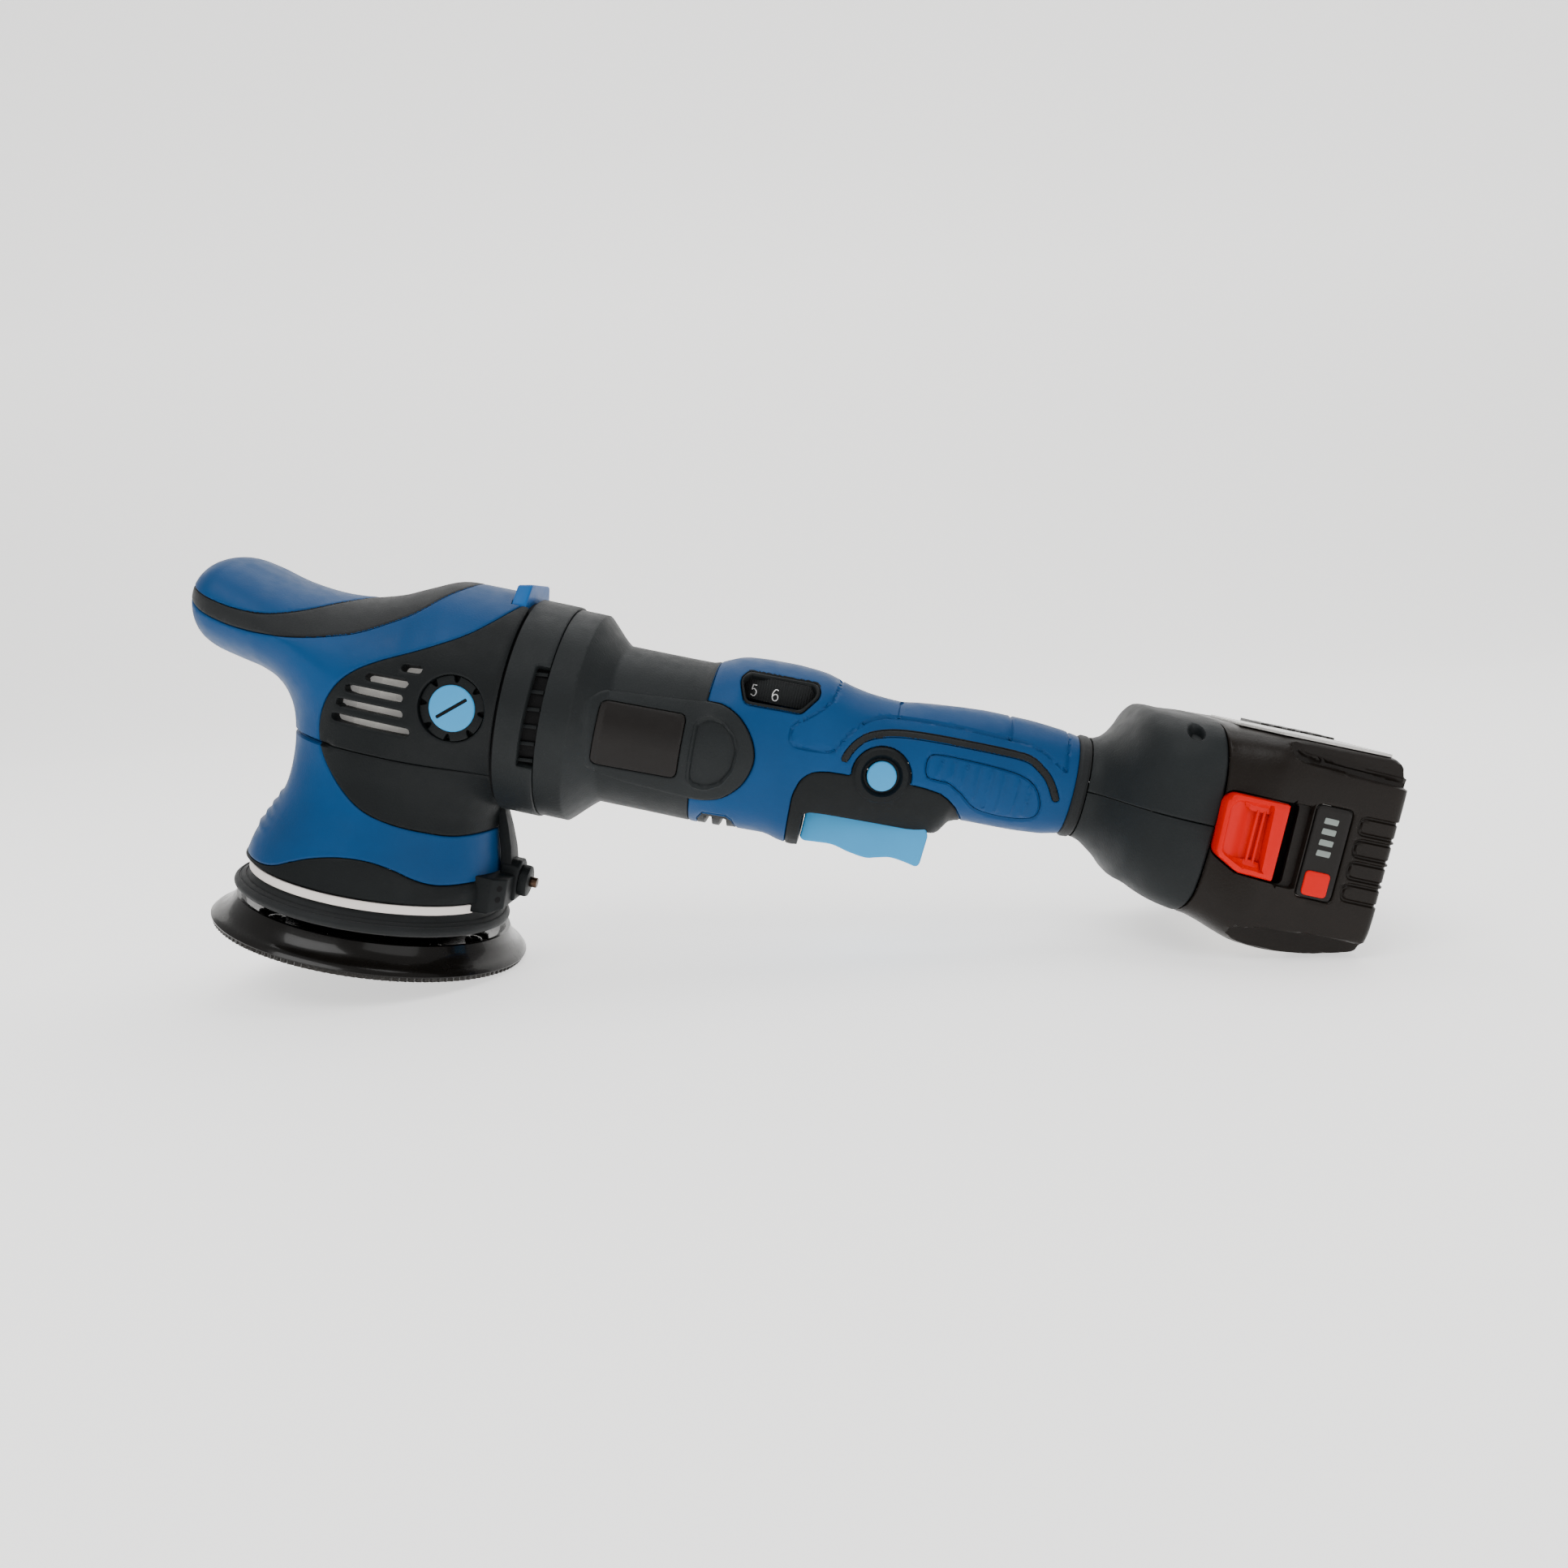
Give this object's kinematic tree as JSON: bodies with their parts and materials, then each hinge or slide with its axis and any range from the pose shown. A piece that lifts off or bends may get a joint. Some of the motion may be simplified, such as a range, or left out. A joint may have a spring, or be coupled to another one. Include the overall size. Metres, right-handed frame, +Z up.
{
  "type": "dual action polisher",
  "caption": "Cordless dual action car polisher: eccentric backing plate, geared head with front palm grip, inline motor barrel, trigger handle and slide-on battery.",
  "frame": {"origin": "centre of the bounding box on the surface that the tool rests on: the rear edge of the backing plate and the low rear edge of the battery touch it", "axes": "+Z up, +X level from the nose of the head towards the battery, +Y to the tool's right-hand side; the body itself leans back by 15.8 degrees about Y"},
  "size_m": [0.456, 0.1268, 0.1741],
  "materials": {
    "casing_blue": "satin",
    "control_blue": "satin",
    "casing_black": "satin",
    "soft_black": "matte",
    "hook_fabric": "matte",
    "graphite": "satin",
    "signal_red": "satin",
    "band_white": "satin",
    "cast_aluminium": "cast",
    "machine_steel": "machined",
    "copper": "satin",
    "circuit_green": "satin"
  },
  "bodies": {
    "housing": {"upper_head_casing": "casing_blue", "grip_strip": "soft_black", "nose_pad": "casing_blue", "left_side_panel": "casing_black", "right_side_panel": "casing_black", "lower_head_casing": "casing_blue", "skirt": "casing_black", "left_plug_cap": "control_blue", "right_plug_cap": "control_blue", "gear_case": "cast_aluminium", "bearing_plate": "cast_aluminium", "upper_spindle_bearing": "machine_steel", "lower_spindle_bearing": "machine_steel", "shroud_ring": "soft_black", "clamp_band": "band_white", "clamp_block": "casing_black", "clamp_strut": "casing_black", "motor_collar": "casing_black", "motor_housing": "casing_black", "left_label_plate": "graphite", "right_label_plate": "graphite", "front_motor_bearing": "machine_steel", "rear_motor_bearing": "machine_steel", "motor_stator": "copper", "left_handle_shell": "casing_blue", "right_handle_shell": "casing_blue", "left_thumb_pad": "soft_black", "right_thumb_pad": "soft_black", "trigger_frame": "casing_black", "dial_cover": "casing_blue", "trigger_switch": "casing_black", "control_board": "circuit_green", "handle_ring": "soft_black", "foot_upper": "casing_black", "foot_lower": "casing_black", "terminal_block": "copper"},
    "spindle": {"spindle": "machine_steel", "bevel_ring_gear": "machine_steel", "counterweight": "machine_steel", "plate_bearing": "machine_steel"},
    "plate": {"backing_plate": "soft_black", "hook_layer": "hook_fabric", "plate_hub": "machine_steel", "plate_screw": "machine_steel"},
    "rotor": {"motor_rotor": "machine_steel", "bevel_pinion": "machine_steel", "cooling_fan": "casing_black"},
    "trigger": {"trigger": "control_blue"},
    "lock_button": {"lock_button": "control_blue"},
    "speed_dial": {"speed_dial": "soft_black"},
    "spindle_lock": {"spindle_lock_tab": "control_blue"},
    "clamp_knob": {"clamp_knob": "casing_black", "clamp_bolt": "copper"},
    "battery": {"battery_case": "graphite", "battery_cells": "cast_aluminium", "gauge_panel": "graphite"},
    "battery_latch": {"battery_latch": "signal_red"},
    "gauge_button": {"gauge_button": "signal_red"}
  },
  "joints": [
    {"name": "spindle_spin", "type": "hinge", "parent": "housing", "child": "spindle", "pos_m": [-0.14569, -0.00651, 0.09355], "axis": [0.2722, 0, 0.9622], "continuous": true},
    {"name": "rotor_spin", "type": "hinge", "parent": "housing", "child": "rotor", "pos_m": [-0.08053, -0.00651, 0.10348], "axis": [0.9622, 0, -0.2722], "continuous": true},
    {"name": "plate_spin", "type": "hinge", "parent": "spindle", "child": "plate", "pos_m": [-0.16303, 0.00091, 0.0361], "axis": [0.2722, 0, 0.9622], "continuous": true},
    {"name": "trigger_pull", "type": "hinge", "parent": "housing", "child": "trigger", "pos_m": [0.02221, -0.00651, 0.06475], "axis": [0, -1, 0], "range_deg": [0, 7], "stiffness_Nm_per_rad": 2, "springref_deg": -3.44},
    {"name": "lock_press", "type": "slide", "parent": "housing", "child": "lock_button", "axis": [0, 1, 0], "range_m": [0, 0.003], "stiffness_N_per_m": 400, "springref_m": -0.001},
    {"name": "dial_turn", "type": "hinge", "parent": "housing", "child": "speed_dial", "pos_m": [0.01045, -0.00651, 0.10549], "axis": [0.2722, 0, 0.9622], "range_deg": [0, 127]},
    {"name": "spindle_lock_press", "type": "slide", "parent": "housing", "child": "spindle_lock", "axis": [-0.2722, 0, -0.9622], "range_m": [0, 0.0026], "stiffness_N_per_m": 600, "springref_m": -0.001},
    {"name": "clamp_knob_turn", "type": "hinge", "parent": "housing", "child": "clamp_knob", "pos_m": [-0.09967, -0.00651, 0.03584], "axis": [0.9622, 0, -0.2722], "continuous": true},
    {"name": "battery_slide", "type": "slide", "parent": "housing", "child": "battery", "axis": [0, -1, 0], "range_m": [0, 0.09]},
    {"name": "latch_pull", "type": "slide", "parent": "battery", "child": "battery_latch", "axis": [0.9622, 0, -0.2722], "range_m": [0, 0.004], "stiffness_N_per_m": 800, "springref_m": -0.001},
    {"name": "gauge_press", "type": "slide", "parent": "battery", "child": "gauge_button", "axis": [0, 1, 0], "range_m": [0, 0.001], "stiffness_N_per_m": 500, "springref_m": -0.0005}
  ],
  "couplings": [
    {"joint": "rotor_spin", "follows": "spindle_spin", "ratio": 3.5}
  ]
}
